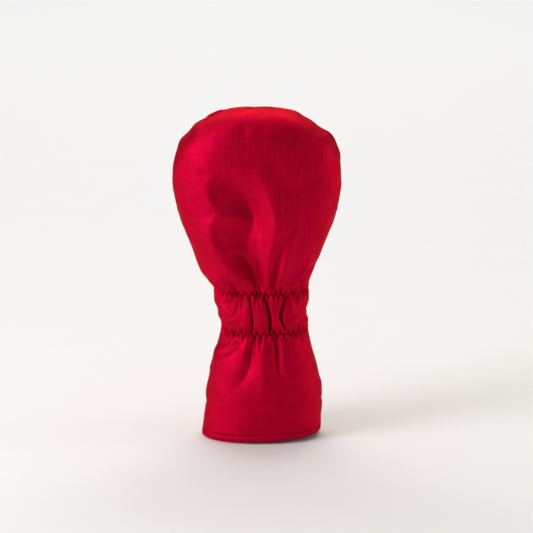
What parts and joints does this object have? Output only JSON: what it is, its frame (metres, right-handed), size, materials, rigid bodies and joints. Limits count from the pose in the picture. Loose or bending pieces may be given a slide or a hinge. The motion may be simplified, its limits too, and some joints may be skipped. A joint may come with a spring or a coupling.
{
  "type": "convertible flip-top mitten",
  "caption": "Child's thumbless lined mitten with a fold-back fingertip hood, elasticated wrist and flared gauntlet cuff.",
  "frame": {"origin": "on the surface the hem stands on, at the middle of the gauntlet's mouth", "axes": "+Z from the gauntlet's mouth towards the fingertips, +X across the hand, -Y out of the back of the hand, +Y out of the palm"},
  "size_m": [0.095, 0.05, 0.1907],
  "materials": {
    "ripstop_shell": "coated ripstop nylon, soft sheen",
    "binding": "knitted stretch binding",
    "fleece_lining": "brushed pile",
    "cuff_lining": "plain taffeta",
    "insulation": "lofted polyester batting",
    "elastic": "braided elastic",
    "seam_allowance": "overlocked nylon edge",
    "thread": "polyester sewing thread",
    "label": "satin label tape"
  },
  "bodies": {
    "mitt": {"dorsal_gauntlet_shell": "ripstop_shell", "palm_gauntlet_shell": "ripstop_shell", "dorsal_wrist_shell": "ripstop_shell", "palm_wrist_shell": "ripstop_shell", "dorsal_hand_shell": "ripstop_shell", "palm_hand_shell": "ripstop_shell", "dorsal_gauntlet_hem": "ripstop_shell", "palm_gauntlet_hem": "ripstop_shell", "palm_opening_binding": "binding", "dorsal_hand_lining": "fleece_lining", "palm_hand_lining": "fleece_lining", "dorsal_wrist_lining": "cuff_lining", "palm_wrist_lining": "cuff_lining", "dorsal_gauntlet_lining": "cuff_lining", "palm_gauntlet_lining": "cuff_lining", "dorsal_hand_insulation": "insulation", "palm_hand_insulation": "insulation", "upper_wrist_elastic": "elastic", "lower_wrist_elastic": "elastic", "left_side_seam": "seam_allowance", "right_side_seam": "seam_allowance", "hem_topstitch": "thread", "opening_bartacks": "thread", "care_label": "label"},
    "hood": {"hood_dorsal_shell": "ripstop_shell", "hood_palm_shell": "ripstop_shell", "hood_dorsal_insulation": "insulation", "hood_palm_insulation": "insulation", "hood_dorsal_lining": "fleece_lining", "hood_palm_lining": "fleece_lining", "hood_edge_binding": "binding", "hood_edge_elastic": "elastic", "hood_rim_seam": "seam_allowance"}
  },
  "joints": [
    {"name": "hood_flip", "type": "hinge", "parent": "mitt", "child": "hood", "pos_m": [0, -0.025, 0.148], "axis": [1, 0, 0], "range_deg": [0, 160]}
  ]
}
